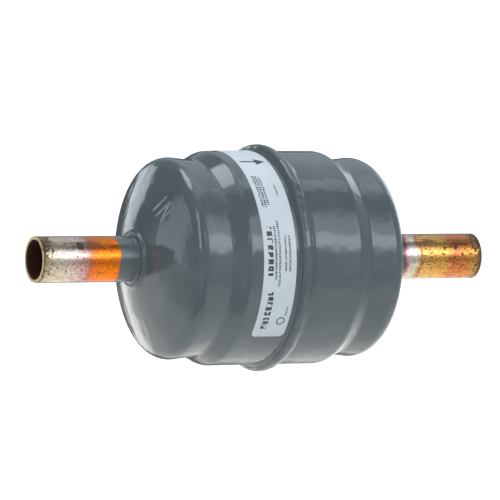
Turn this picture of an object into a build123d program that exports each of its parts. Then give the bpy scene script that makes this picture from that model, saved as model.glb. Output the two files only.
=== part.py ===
from build123d import *
import os
from math import radians, sqrt, tan

# Hermetic liquid-line filter drier: two drawn steel cups, lap-jointed and welded round the middle,
# a copper stub brazed into each end, and a moulded desiccant core held by a spring inside.
#
# Frame, in millimetres: +X runs along the axis from the inlet to the outlet, the way the liquid
# flows, and +Z is up. The origin is on the axis, half way between the two stub mouths.
# Every round piece is a section drawn in the XY plane, X along the axis and Y as its radius,
# turned about X. A section is drawn for the outlet side and mirrored for the inlet side.

# Copper stubs, 1/2 inch tube
tube_od = 12.7
tube_wall = 0.89
stub_reach = 28.8         # from the neck's tip to the open mouth
stub_inset = 3.4          # from the neck's tip inwards
swage_step = 0.2          # the stub's root is swaged down, so that its shoulder stops the filler
mouth_chamfer = 0.2       # deburred edges of the mouth
braze_gap = 0.05          # film of filler between tube and neck
braze_leg = 0.55          # fillet of filler on the neck's tip

# Drawn cups, outside sizes
shell_wall = 1.8
body_od = 59.24
body_half = 16.9          # middle of the body to the corner where the waist begins
waist_od = 54.26
waist_run = 4.6           # that corner to the bottom of the waist
shoulder_od = 56.18
shoulder_run = 9.04       # bottom of the waist to the shoulder's corner
dome_height = 7.76        # that corner to the foot of the neck
dome_radius = 75.0        # crown of the end
neck_height = 0.95        # flanged edge of the stub's hole, above the dome
body_round = 3.45
waist_round = 3.0
shoulder_round = 4.63
neck_round = 0.6
neck_tip_round = 0.45

# Bell of the outlet cup, over the plain end of the inlet cup
lap_clearance = 0.08
bell_lip = 1.9            # lip's distance from the middle, on the inlet side
bell_root = 1.7           # foot of the bell, on the outlet side
bell_step_run = 0.6       # axial run of the step from the bell down to the body
bell_round = 1.85
lip_round = 1.2
lap_end_gap = 0.15        # between the plain end and the step that stops it

# Weld bead in the corner of the lip, with a short stretch left open
weld_leg = 0.7
weld_crown = 0.08         # bead's rounding
weld_open_arc = 27.0      # degrees
weld_open_middle = -86.5  # degrees round from the front, downwards negative

# Wrap-round label on the inlet half
label_width = 9.9
label_lip_gap = 1.5       # bare paint between the label and the bell's lip
label_thickness = 0.1
label_start = -46.0       # degrees round from the front, downwards negative
label_arc = 272.0
label_skew = 0.7          # degrees that it was stuck on askew
label_corner_radius = 1.5

# Core, and what holds it between the dome and the waist of the outlet cup
core_flow_gap = 0.9       # liquid's way round the core, at the waist
core_bore = 15.0
core_cap = 12.0           # thickness of the closed end
core_chamfer = 1.5
pad_thickness = 3.0
screen_thickness = 0.5
outlet_plate_thickness = 1.2
plate_rim_gap = 0.6       # outlet plate inside the cylinder
plate_hole = 2.2
plate_hole_pitch = 3.2
plate_hole_rings = 2
cushion_thickness = 1.0
cushion_margin = 3.0      # cushion's edge inside the core's edge
spring_plate_od = 40.0
spring_plate_thickness = 0.8
spring_plate_rim = 1.0    # upturned rim that centres the spring
spring_plate_room = 1.2   # between that rim and the dome, for the liquid
spring_plate_hole = 4.0
spring_plate_holes = 8
spring_plate_circle = 20.0
spring_thickness = 0.8
spring_foot = 2.0         # width of the flat ring on the plate
spring_tip_od = 22.0      # circle on which the fingers bear on the dome
spring_fingers = 6
spring_slot = 4.5         # between two fingers
spring_rim_gap = 0.3
spring_play = 0.02        # between finger tips and dome

# Worked out from these
full_turn = 360.0
tube_r = tube_od / 2
tube_bore_r = tube_r - tube_wall
root_r = tube_r - swage_step
neck_bore_r = root_r + braze_gap
neck_r = neck_bore_r + shell_wall
body_r = body_od / 2
waist_r = waist_od / 2
shoulder_r = shoulder_od / 2
waist_x = body_half + waist_run
shoulder_x = waist_x + shoulder_run
neck_x = shoulder_x + dome_height
tip_x = neck_x + neck_height
mouth_x = tip_x + stub_reach
bell_bore_r = body_r + lap_clearance
bell_r = bell_bore_r + shell_wall

# Outer corners that both cups share, from the cylinder to the shoulder, and those of the bell
cup_corners = [(body_half, body_r), (waist_x, waist_r), (shoulder_x, shoulder_r)]
bell_corners = [
    (-bell_lip, bell_r),
    (bell_root - bell_step_run, bell_r),
    (bell_root, body_r),
]


def inner_line(corners, thickness):
    """Corners of a sheet's inner face: each outer corner moved in square to both its walls."""
    points = [Vector(x, r) for x, r in corners]
    runs = [(end - start).normalized() for start, end in zip(points, points[1:])]
    normals = [Vector(run.Y, -run.X) for run in runs]
    befores = [normals[0]] + normals
    afters = normals + [normals[-1]]
    return [
        point + (before + after) * (thickness / (1 + before.dot(after)))
        for point, before, after in zip(points, befores, afters)
    ]


def box_section(x_low, x_high, r_low, r_high):
    """Rectangular section of a ring or a disc."""
    return make_face(
        Polyline((x_low, r_low), (x_high, r_low), (x_high, r_high), (x_low, r_high), close=True)
    )


def rounded(section, corner, radius):
    """The section with its corner at that place rounded."""
    return fillet(section.vertices().sort_by_distance(Vector(*corner))[0], radius)


def bevelled(section, corner, size):
    """The section with its corner at that place cut off at 45 degrees."""
    return chamfer(section.vertices().sort_by_distance(Vector(*corner))[0], size)


def turned(section, arc=full_turn, start=0.0):
    """The section turned about X, from so many degrees round from the front, upwards."""
    return Rot(X=full_turn / 2 - start - arc) * revolve(section, Axis.X, arc)


def drilled(places, diameter, x_low, x_high):
    """Pins that leave a pattern of round holes through a disc between two faces."""
    circles = Sketch() + places * Circle(diameter / 2)
    return Pos(x_low, 0, 0) * extrude(Plane.YZ * circles, x_high - x_low)


def inlet_side(solid):
    """The mirror image of a solid that was drawn for the outlet side."""
    return mirror(solid, about=Plane.YZ)


dome_centre = RadiusArc((shoulder_x, shoulder_r), (neck_x, neck_r), dome_radius).arc_center


def x_on_dome(r, depth):
    """Where the dome has the radius r, so deep below its outer face."""
    return dome_centre.X + sqrt((dome_radius - depth) ** 2 - (r - dome_centre.Y) ** 2)


def x_on_wall(start, end, r):
    """Where the straight wall between two corners has the radius r."""
    return start.X + (end.X - start.X) * (r - start.Y) / (end.Y - start.Y)


# Inner corners of a cup, and the places that the stack inside takes from them and from the dome
body_inside, waist_inside, shoulder_inside = inner_line([(0, body_r)] + cup_corners, shell_wall)[1:]
core_r = waist_inside.Y - core_flow_gap
plate_r = body_inside.Y - plate_rim_gap
plate_seat_x = x_on_wall(body_inside, waist_inside, plate_r)
screen_x = plate_seat_x - outlet_plate_thickness
pad_x = screen_x - screen_thickness
core_outlet_x = pad_x - pad_thickness
spring_plate_r = spring_plate_od / 2
spring_rim_x = x_on_dome(spring_plate_r, shell_wall) - spring_plate_room
spring_plate_x = spring_rim_x - spring_plate_rim
cushion_x = spring_plate_x - spring_plate_thickness
core_end = cushion_x - cushion_thickness
step_inside_x = inner_line(bell_corners + cup_corners, shell_wall)[1].X


def cup_form(mouth_corners, depth):
    """Filled section of a cup without its neck, so deep below its outer face."""
    corners = inner_line(mouth_corners + cup_corners, depth)
    waist, shoulder = corners[-2:]
    beyond = shoulder + (shoulder - waist)
    outline = Polyline((corners[0].X, 0), *corners, beyond, (beyond.X, 0), close=True)
    return make_face(outline) & Pos(dome_centre) * Circle(dome_radius - depth)


def cup(mouth_corners):
    """Section of a drawn cup: cylinder, waist, shoulder, dome and the neck round the stub."""
    section = cup_form(mouth_corners, 0) - cup_form(mouth_corners, shell_wall)
    section += box_section(neck_x - shell_wall / 2, tip_x, neck_bore_r, neck_r)
    section -= box_section(0, mouth_x, 0, neck_bore_r)
    section = rounded(section, (body_half, body_r), body_round)
    section = rounded(section, (waist_x, waist_r), waist_round)
    section = rounded(section, (shoulder_x, shoulder_r), shoulder_round)
    section = rounded(section, (neck_x, neck_r), neck_round)
    return rounded(section, (tip_x, neck_r), neck_tip_round)


def inlet_shell_half():
    """Cup with a plain mouth that slides into the bell."""
    plain_end = lap_end_gap - step_inside_x
    return inlet_side(turned(cup([(plain_end, body_r)])))


def outlet_shell_half():
    """Cup whose mouth is expanded into a bell with a rounded lip."""
    lip, bell_edge = bell_corners[:2]
    section = rounded(cup(bell_corners), bell_edge, bell_round)
    return turned(rounded(section, lip, lip_round))


def stub():
    """Copper tube with a deburred mouth, swaged down where it goes through the neck."""
    shoulder = tip_x + braze_leg
    tube = box_section(shoulder, mouth_x, tube_bore_r, tube_r)
    tube = bevelled(tube, (mouth_x, tube_r), mouth_chamfer)
    tube = bevelled(tube, (mouth_x, tube_bore_r), mouth_chamfer)
    root = box_section(tip_x - stub_inset, shoulder, root_r - tube_wall, root_r)
    return turned(tube + root)


def braze_ring():
    """Filler drawn into the joint of stub and neck, with a fillet on the neck's tip."""
    film_x = tip_x - stub_inset / 2
    return turned(
        make_face(
            Polyline(
                (film_x, root_r),
                (tip_x + braze_leg, root_r),
                (tip_x + braze_leg, tube_r),
                (tip_x, tube_r + braze_leg),
                (tip_x, neck_bore_r),
                (film_x, neck_bore_r),
                close=True,
            )
        )
    )


def seam_weld():
    """Bead between the bell's lip and the inlet cup, left open for a short way below."""
    toe = (-bell_lip - weld_leg, body_r)
    root = (-bell_lip, body_r)
    crown = (-bell_lip, bell_r - lip_round)
    bead = SagittaArc(toe, crown, weld_crown)
    section = make_face(bead.edges() + Polyline(crown, root, toe).edges())
    return turned(section, full_turn - weld_open_arc, weld_open_middle + weld_open_arc / 2)


def data_label():
    """Thin label wrapped over the top of the inlet half, a little askew."""
    middle_x = -bell_lip - label_lip_gap - label_width / 2
    skew_drift = body_r * tan(radians(label_skew))
    half_wide = label_width / 2 + skew_drift
    sleeve = turned(
        box_section(middle_x - half_wide, middle_x + half_wide, body_r, body_r + label_thickness),
        label_arc,
        label_start,
    )
    strip = Pos(middle_x, 0, 0) * Rot(Y=-label_skew) * Box(label_width, 2 * body_od, 2 * body_od)
    label = sleeve & strip
    corners = label.edges().filter_by(lambda edge: edge.length < 2 * label_thickness)
    return fillet(corners, label_corner_radius)


def desiccant_core():
    """Moulded block, closed at the inlet end, with a bore that opens at the outlet end."""
    section = box_section(-core_end, core_outlet_x, 0, core_r)
    section = bevelled(section, (-core_end, core_r), core_chamfer)
    section = bevelled(section, (core_outlet_x, core_r), core_chamfer / 2)
    return turned(section - box_section(core_cap - core_end, core_outlet_x, 0, core_bore / 2))


def filter_pad():
    """Glass-fibre disc that the core is pressed on, which seals it and stops fine dust."""
    return turned(box_section(core_outlet_x, pad_x, 0, core_r))


def outlet_screen():
    """Woven wire disc that backs the pad."""
    return turned(box_section(pad_x, screen_x, 0, core_r))


def outlet_plate():
    """Steel plate seated on the waist, pierced opposite the core's bore."""
    plate = turned(box_section(screen_x, plate_seat_x, 0, plate_r))
    rings = range(-plate_hole_rings, plate_hole_rings + 1)
    places = [
        (plate_hole_pitch * (across + along / 2), plate_hole_pitch * along * sqrt(3) / 2)
        for along in rings
        for across in rings
        if abs(across + along) <= plate_hole_rings
    ]
    return plate - drilled(Locations(*places), plate_hole, screen_x, plate_seat_x)


def inlet_cushion():
    """Felt disc between the spring plate and the core."""
    return inlet_side(turned(box_section(core_end, cushion_x, 0, core_r - cushion_margin)))


def spring_plate():
    """Pressed disc with flow holes and a rim that keeps the spring in the middle."""
    disc = box_section(cushion_x, spring_plate_x, 0, spring_plate_r)
    rim_inside_r = spring_plate_r - spring_plate_thickness
    rim = box_section(spring_plate_x, spring_rim_x, rim_inside_r, spring_plate_r)
    places = PolarLocations(spring_plate_circle / 2, spring_plate_holes)
    holes = drilled(places, spring_plate_hole, cushion_x, spring_plate_x)
    return inlet_side(turned(disc + rim) - holes)


def core_spring():
    """Slotted conical spring: a flat ring on the plate and fingers that bear on the dome."""
    foot_outer_r = spring_plate_r - spring_plate_thickness - spring_rim_gap
    foot_inner_r = foot_outer_r - spring_foot
    foot_x = spring_plate_x + spring_thickness
    finger_r = spring_tip_od / 2
    finger_x = x_on_dome(finger_r, shell_wall) - spring_play
    corners = [(foot_x, foot_outer_r), (foot_x, foot_inner_r), (finger_x, finger_r)]
    back = inner_line(corners, spring_thickness)
    cone = turned(make_face(Polyline(*corners, *reversed(back), close=True)))
    slot_run = 2 * foot_inner_r
    slot = extrude(Plane.YZ * SlotOverall(slot_run, spring_slot), 2 * finger_x)
    slots = [Rot(X=full_turn / spring_fingers * turn) * slot for turn in range(spring_fingers // 2)]
    return inlet_side(cone - slots)


pieces = {
    "inlet_shell_half": inlet_shell_half(),
    "outlet_shell_half": outlet_shell_half(),
    "seam_weld": seam_weld(),
    "inlet_stub": inlet_side(stub()),
    "outlet_stub": stub(),
    "inlet_braze_ring": inlet_side(braze_ring()),
    "outlet_braze_ring": braze_ring(),
    "data_label": data_label(),
    "core_spring": core_spring(),
    "spring_plate": spring_plate(),
    "inlet_cushion": inlet_cushion(),
    "desiccant_core": desiccant_core(),
    "filter_pad": filter_pad(),
    "outlet_screen": outlet_screen(),
    "outlet_plate": outlet_plate(),
}

os.makedirs("parts", exist_ok=True)
for name, piece in pieces.items():
    piece.label = name
    export_step(piece, f"parts/{name}.step")
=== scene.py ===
"""Dresses the filter drier's frame: painted shell, heat-tinted stubs, label and a plain studio.

Metres, in the solids' frame: +X runs along the axis from the inlet to the outlet, +Z is up, the
front is -Y, and the origin is on the axis, half way between the stub mouths. Lengths below are
written in millimetres times MM. A turned piece is a section line in the XZ plane, X along the
axis and Z as its radius, spun about X.
"""

import logging
import math
from dataclasses import dataclass, field
from enum import Enum

import bpy
from mathutils import Matrix, Vector, noise

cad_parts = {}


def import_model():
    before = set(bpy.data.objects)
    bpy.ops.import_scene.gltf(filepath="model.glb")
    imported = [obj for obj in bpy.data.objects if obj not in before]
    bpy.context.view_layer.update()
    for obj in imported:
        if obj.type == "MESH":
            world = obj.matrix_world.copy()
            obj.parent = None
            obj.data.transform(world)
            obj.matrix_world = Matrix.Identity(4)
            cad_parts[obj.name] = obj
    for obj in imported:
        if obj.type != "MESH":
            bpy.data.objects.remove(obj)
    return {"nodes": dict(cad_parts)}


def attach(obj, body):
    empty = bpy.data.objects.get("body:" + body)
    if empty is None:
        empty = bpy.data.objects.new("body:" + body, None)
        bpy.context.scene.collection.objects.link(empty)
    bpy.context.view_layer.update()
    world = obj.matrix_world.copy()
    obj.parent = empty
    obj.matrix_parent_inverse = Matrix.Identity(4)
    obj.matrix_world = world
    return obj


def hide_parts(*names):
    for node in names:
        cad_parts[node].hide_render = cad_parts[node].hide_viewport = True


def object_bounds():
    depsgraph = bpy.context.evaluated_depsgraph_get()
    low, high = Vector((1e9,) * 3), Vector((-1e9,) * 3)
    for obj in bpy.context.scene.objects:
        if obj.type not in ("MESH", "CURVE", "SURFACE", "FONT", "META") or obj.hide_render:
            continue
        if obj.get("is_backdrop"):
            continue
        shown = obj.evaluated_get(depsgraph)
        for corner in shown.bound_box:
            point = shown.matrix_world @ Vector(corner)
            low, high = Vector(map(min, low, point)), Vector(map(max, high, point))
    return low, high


log = logging.getLogger("filter_drier")

MM = 0.001
DEGREES = 180 / math.pi  # in a radian
FULL_TURN = 2 * math.pi
MERGE_DISTANCE = 0.0005 * MM
ARC_STEP = 6.0  # degrees between two points of a rounded bend
CROWN_STEP = 1.2  # degrees between two points of the dome's crown
SUPPORT_REACH = 0.15 * MM
BEND_ANGLE = 32.0  # degrees; a turned sheet's edges sharper than this stay sharp
FILLET_ANGLE = 50.0  # the same on a weld bead or a fillet
BODY = "root"

Section = list[Vector]
Triple = tuple[float, float, float]
Colour = Triple


# --------------------------------------------------------------------------------------------
# Section lines


def inner_line(corners: Section, thickness: float) -> Section:
    """Moves each outer corner of a sheet in, square to both its walls.

    Args:
        corners: outer corners, in order along the sheet.
        thickness: the sheet's thickness.

    Returns:
        The corners of the sheet's inner face.
    """
    runs = [(end - start).normalized() for start, end in zip(corners, corners[1:])]
    normals = [Vector((run.y, -run.x)) for run in runs]
    befores = [normals[0]] + normals
    afters = normals + [normals[-1]]
    return [
        point + (before + after) * (thickness / (1 + before.dot(after)))
        for point, before, after in zip(corners, befores, afters)
    ]


def arc_points(centre: Vector, radius: float, start: float, end: float, step: float) -> Section:
    """Points of an arc, both ends included.

    Args:
        centre: the arc's centre.
        radius: its radius.
        start: angle of the first point, in degrees from +X towards the radius.
        end: angle of the last point.
        step: most degrees between two points.

    Returns:
        The points, in order from start to end.
    """
    count = max(2, math.ceil(abs(end - start) / step))
    angles = [math.radians(start + (end - start) * i / count) for i in range(count + 1)]
    return [centre + Vector((math.cos(a), math.sin(a))) * radius for a in angles]


def rounded_corner(before: Vector, corner: Vector, after: Vector, radius: float) -> Section:
    """Points of the arc that rounds a corner between two straight walls.

    Args:
        before: a point on the wall before the corner.
        corner: the sharp corner.
        after: a point on the wall after it.
        radius: the rounding.

    Returns:
        The arc's points, from the wall before to the wall after.
    """
    inward = (before - corner).normalized()
    outward = (after - corner).normalized()
    half = inward.angle(outward) / 2
    centre = corner + (inward + outward).normalized() * (radius / math.sin(half))
    first = corner + inward * (radius / math.tan(half)) - centre
    last = corner + outward * (radius / math.tan(half)) - centre
    start = math.degrees(math.atan2(first.y, first.x))
    turn = math.degrees(math.atan2(first.cross(last), first.dot(last)))
    return arc_points(centre, radius, start, start + turn, ARC_STEP)


def with_supports(line: Section, reach: float) -> Section:
    """Adds a point near each end of a long run, so that smooth shading stays on the bends.

    Args:
        line: the section line.
        reach: distance of the added points from the run's ends.

    Returns:
        The line with the added points.
    """
    held = [line[0]]
    for start, end in zip(line, line[1:]):
        run = end - start
        if run.length > 3 * reach:
            held += [start + run.normalized() * reach, end - run.normalized() * reach]
        held.append(end)
    return held


# --------------------------------------------------------------------------------------------
# Modelling with operators


def deselect() -> None:
    """Leaves nothing selected and no object active in edit mode."""
    if bpy.context.object and bpy.context.object.mode != "OBJECT":
        bpy.ops.object.mode_set(mode="OBJECT")
    bpy.ops.object.select_all(action="DESELECT")


def activate(piece: bpy.types.Object) -> None:
    """Makes one piece the only selected and active object.

    Args:
        piece: the object to work on.
    """
    deselect()
    piece.select_set(True)
    bpy.context.view_layer.objects.active = piece


def edit_all() -> None:
    """Goes to edit mode with the whole mesh selected."""
    bpy.ops.object.mode_set(mode="EDIT")
    bpy.ops.mesh.select_mode(type="VERT")
    bpy.ops.mesh.select_all(action="SELECT")


def single_vertex(name: str, place: Vector) -> bpy.types.Object:
    """A plane collapsed to one vertex, from which a section line is extruded.

    Args:
        name: the piece's name.
        place: the vertex's place, in the XZ plane.

    Returns:
        The piece, in edit mode.
    """
    deselect()
    bpy.ops.mesh.primitive_plane_add(size=1 * MM, location=(place.x, 0, place.y))
    piece = bpy.context.object
    piece.name = name
    piece.data.name = name
    bpy.ops.object.transform_apply(location=True, rotation=True, scale=True)
    edit_all()
    bpy.ops.mesh.merge(type="CENTER")
    return piece


def spun(name: str, line: Section, steps: int, arc: float = FULL_TURN) -> bpy.types.Object:
    """Draws a closed section and spins it about X.

    Args:
        name: the piece's name.
        line: the section's points; the last joins the first.
        steps: faces round the turn.
        arc: how far it is spun; less than a full turn leaves two flat caps.

    Returns:
        The piece, closed, with its faces outwards, in object mode.
    """
    piece = single_vertex(name, line[0])
    for start, end in zip(line, line[1:] + line[:1]):
        move = (end.x - start.x, 0, end.y - start.y)
        bpy.ops.mesh.extrude_vertices_move(TRANSFORM_OT_translate={"value": move})
    edit_all()
    bpy.ops.mesh.remove_doubles(threshold=MERGE_DISTANCE)
    if arc < FULL_TURN:
        bpy.ops.mesh.select_all(action="SELECT")
        bpy.ops.mesh.edge_face_add()
    bpy.ops.mesh.select_all(action="SELECT")
    bpy.ops.mesh.spin(steps=steps, angle=arc, center=(0, 0, 0), axis=(1, 0, 0))
    bpy.ops.mesh.select_all(action="SELECT")
    bpy.ops.mesh.remove_doubles(threshold=MERGE_DISTANCE)
    bpy.ops.mesh.select_all(action="SELECT")
    bpy.ops.mesh.normals_make_consistent(inside=False)
    bpy.ops.object.mode_set(mode="OBJECT")
    return piece


def smoothed(piece: bpy.types.Object, angle: float = BEND_ANGLE) -> bpy.types.Object:
    """Shades the piece smooth.

    Args:
        piece: the finished mesh.
        angle: edges sharper than this stay sharp, in degrees.

    Returns:
        The same piece.
    """
    activate(piece)
    bpy.ops.object.shade_smooth_by_angle(angle=math.radians(angle))
    return piece


def placed(piece: bpy.types.Object, nodes: list[str]) -> bpy.types.Object:
    """Puts a finished piece on the object's body, in place of the solids that it stands for.

    Args:
        piece: the finished piece.
        nodes: the solids that it replaces.

    Returns:
        The same piece.
    """
    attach(piece, BODY)
    if nodes:
        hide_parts(*nodes)
    return piece


def dressed(piece: bpy.types.Object, material: bpy.types.Material) -> bpy.types.Object:
    """Gives the piece one material.

    Args:
        piece: the piece.
        material: its only material.

    Returns:
        The same piece.
    """
    piece.data.materials.clear()
    piece.data.materials.append(material)
    return piece


# --------------------------------------------------------------------------------------------
# Shader maths


class Sig:
    """A shader socket that Python's arithmetic works on, one Math node to an operation."""

    def __init__(self, graph: "Graph", socket: bpy.types.NodeSocket) -> None:
        """Wraps an output socket of the graph."""
        self.graph = graph
        self.socket = socket

    def _math(self, operation: str, *values: "Sig | float") -> "Sig":
        """One Math node on these values."""
        inputs = dict(enumerate(values))
        return self.graph.node("ShaderNodeMath", {"operation": operation}, inputs)

    def __add__(self, other: "Sig | float") -> "Sig":
        """Sum."""
        return self._math("ADD", self, other)

    __radd__ = __add__

    def __mul__(self, other: "Sig | float") -> "Sig":
        """Product."""
        return self._math("MULTIPLY", self, other)

    __rmul__ = __mul__

    def __sub__(self, other: "Sig | float") -> "Sig":
        """Difference."""
        return self._math("SUBTRACT", self, other)

    def __rsub__(self, other: float) -> "Sig":
        """Difference from a number."""
        return self._math("SUBTRACT", other, self)

    def __truediv__(self, other: "Sig | float") -> "Sig":
        """Quotient."""
        return self._math("DIVIDE", self, other)

    def __lt__(self, other: "Sig | float") -> "Sig":
        """1 where this is less."""
        return self._math("LESS_THAN", self, other)

    def __gt__(self, other: "Sig | float") -> "Sig":
        """1 where this is more."""
        return self._math("GREATER_THAN", self, other)

    def abs(self) -> "Sig":
        """Magnitude."""
        return self._math("ABSOLUTE", self)

    def sqrt(self) -> "Sig":
        """Square root."""
        return self._math("SQRT", self)

    def arcsine(self) -> "Sig":
        """Angle in degrees whose sine this is."""
        return self._math("ARCSINE", self) * DEGREES

    def bearing(self, ahead: "Sig") -> "Sig":
        """Angle in degrees of this, sideways, against what lies ahead."""
        return self._math("ARCTAN2", self, ahead) * DEGREES

    def least(self, other: "Sig | float") -> "Sig":
        """The smaller of the two."""
        return self._math("MINIMUM", self, other)

    def most(self, other: "Sig | float") -> "Sig":
        """The larger of the two."""
        return self._math("MAXIMUM", self, other)

    def remainder(self, period: float) -> "Sig":
        """What is left over a period."""
        return self._math("FLOORED_MODULO", self, period)

    def over(self, low: float, high: float) -> "Sig":
        """A smooth step.

        Args:
            low: where it is 0.
            high: where it is 1; below low, the step goes down.

        Returns:
            The step, 0 or 1 beyond its ends.
        """
        first, last = (1.0, 0.0) if high < low else (0.0, 1.0)
        inputs = {
            "Value": self,
            "From Min": min(low, high),
            "From Max": max(low, high),
            "To Min": first,
            "To Max": last,
        }
        settings = {"interpolation_type": "SMOOTHSTEP"}
        return self.graph.node("ShaderNodeMapRange", settings, inputs)

    def between(self, low: float, high: float, edge: float) -> "Sig":
        """1 from low to high, with soft edges so wide."""
        return self.over(low - edge, low + edge) * self.over(high + edge, high - edge)


Value = Sig | float | Colour


class Graph:
    """A material's or the world's node tree, filled in through one method."""

    def __init__(self, owner: bpy.types.Material | bpy.types.World, output: str) -> None:
        """Empties the owner's tree and gives it an output.

        Args:
            owner: what the tree belongs to.
            output: type of its output node.
        """
        owner.use_nodes = True
        self.owner = owner
        self.tree = owner.node_tree
        self.tree.nodes.clear()
        self.output = self.tree.nodes.new(output)

    @classmethod
    def for_material(cls, name: str) -> "Graph":
        """The graph of a new material."""
        return cls(bpy.data.materials.new(name), "ShaderNodeOutputMaterial")

    def node(self, kind: str, settings: dict, inputs: dict, output: int | str = 0) -> Sig:
        """Makes a node, sets it and links it.

        Args:
            kind: the node's type.
            settings: its own settings, set first; a ramp's stops are given as "stops".
            inputs: values or signals for its sockets, by name or place.
            output: the output that is wanted.

        Returns:
            That output as a signal.
        """
        made = self.tree.nodes.new(kind)
        for key, value in settings.items():
            if key == "stops":
                self._set_stops(made.color_ramp, value)
            else:
                setattr(made, key, value)
        for key, value in inputs.items():
            socket = made.inputs[key]
            if isinstance(value, Sig):
                self.tree.links.new(value.socket, socket)
            elif socket.type == "RGBA" and len(value) == 3:
                socket.default_value = (*value, 1.0)
            else:
                socket.default_value = value
        return Sig(self, made.outputs[output])

    @staticmethod
    def _set_stops(ramp: bpy.types.ColorRamp, stops: list[tuple[float, Colour]]) -> None:
        """Gives a colour ramp its stops.

        Args:
            ramp: the ramp, as its node makes it.
            stops: the place from 0 to 1 and the colour of each.
        """
        while len(ramp.elements) < len(stops):
            ramp.elements.new(0.5)
        for element, (place, colour) in zip(ramp.elements, stops):
            element.position = place
            element.color = (*colour, 1.0)

    def position(self) -> "Place":
        """Reads the object coordinates.

        Returns:
            The place in millimetres, with the radius and the angle round the axis.
        """
        vector = self.node("ShaderNodeTexCoord", {}, {}, "Object")
        x, y, z = (axis / MM for axis in self.axes(vector))
        radius = (y * y + z * z).sqrt()
        return Place(vector, x, y, z, radius, z.bearing(y * -1.0))

    def axes(self, vector: Sig) -> tuple[Sig, Sig, Sig]:
        """A vector's three parts."""
        outputs = self.node("ShaderNodeSeparateXYZ", {}, {0: vector}).socket.node.outputs
        return Sig(self, outputs[0]), Sig(self, outputs[1]), Sig(self, outputs[2])

    def noise(self, place: Sig, size: float, detail: float = 2.0, roughness: float = 0.5) -> Sig:
        """Noise from 0 to 1 whose blotches are so many metres across."""
        inputs = {"Vector": place, "Scale": 1 / size, "Detail": detail, "Roughness": roughness}
        return self.node("ShaderNodeTexNoise", {"normalize": True}, inputs)

    def stretched(self, place: Sig, factors: Triple) -> Sig:
        """Coordinates scaled along each axis, to draw a pattern out."""
        inputs = {0: place, "Scale": factors}
        return self.node("ShaderNodeMapping", {"vector_type": "POINT"}, inputs)

    def mix(self, low: Value, high: Value, factor: Sig | float, blend: str = "MIX") -> Sig:
        """Mixes two colours.

        Args:
            low: colour where the factor is 0.
            high: colour where it is 1.
            factor: the mask.
            blend: Blender's blend type.

        Returns:
            The mixed colour.
        """
        settings = {"data_type": "RGBA", "blend_type": blend}
        colour_a, colour_b, colour_out = 6, 7, 2
        inputs = {0: factor, colour_a: low, colour_b: high}
        return self.node("ShaderNodeMix", settings, inputs, colour_out)

    def ramp(self, factor: Sig, stops: list[tuple[float, Colour]]) -> Sig:
        """Colour from a ramp with these stops."""
        return self.node("ShaderNodeValToRGB", {"stops": stops}, {0: factor})

    def bump(self, height: Sig, distance: float) -> Sig:
        """A normal from a height, where 1 stands for so many metres."""
        return self.node("ShaderNodeBump", {}, {"Height": height, "Distance": distance})

    def finish(self, kind: str, inputs: dict) -> bpy.types.Material | bpy.types.World:
        """Ends the tree in one shader.

        Args:
            kind: the shader's type.
            inputs: values or signals for its sockets.

        Returns:
            The material or the world that the tree belongs to.
        """
        shader = self.node(kind, {}, inputs)
        self.tree.links.new(shader.socket, self.output.inputs["Surface"])
        return self.owner

    def surface(self, inputs: dict) -> bpy.types.Material:
        """Ends a material in a Principled shader with these inputs."""
        return self.finish("ShaderNodeBsdfPrincipled", inputs)


@dataclass(frozen=True)
class Place:
    """Where a point of the surface is, as signals in millimetres and degrees."""

    vector: Sig
    x: Sig
    y: Sig
    z: Sig
    radius: Sig
    turn: Sig


# --------------------------------------------------------------------------------------------
# Finishes


@dataclass(frozen=True)
class Mottle:
    """Patches that a noise makes on a surface.

    Attributes:
        size: how wide they are, in metres.
        low, high: values of the noise where they start and where they are full.
        detail, roughness: how finely and how strongly they are broken.
        weave: scale along each axis; less than 1 draws them out.
        strength: their mask where they are full.
    """

    size: float
    low: float
    high: float
    detail: float = 2.0
    roughness: float = 0.5
    weave: Triple | None = None
    strength: float = 1.0

    def mask(self, graph: Graph, place: Place) -> Sig:
        """Spreads the patches.

        Args:
            graph: the material's graph.
            place: where the surface is.

        Returns:
            Their mask.
        """
        vector = graph.stretched(place.vector, self.weave) if self.weave else place.vector
        cloud = graph.noise(vector, self.size, self.detail, self.roughness)
        return cloud.over(self.low, self.high) * self.strength


@dataclass(frozen=True)
class StampStroke:
    """One straight groove of a stamped letter, from one end to the other, in y and z, in mm."""

    start: tuple[float, float]
    end: tuple[float, float]


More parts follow.
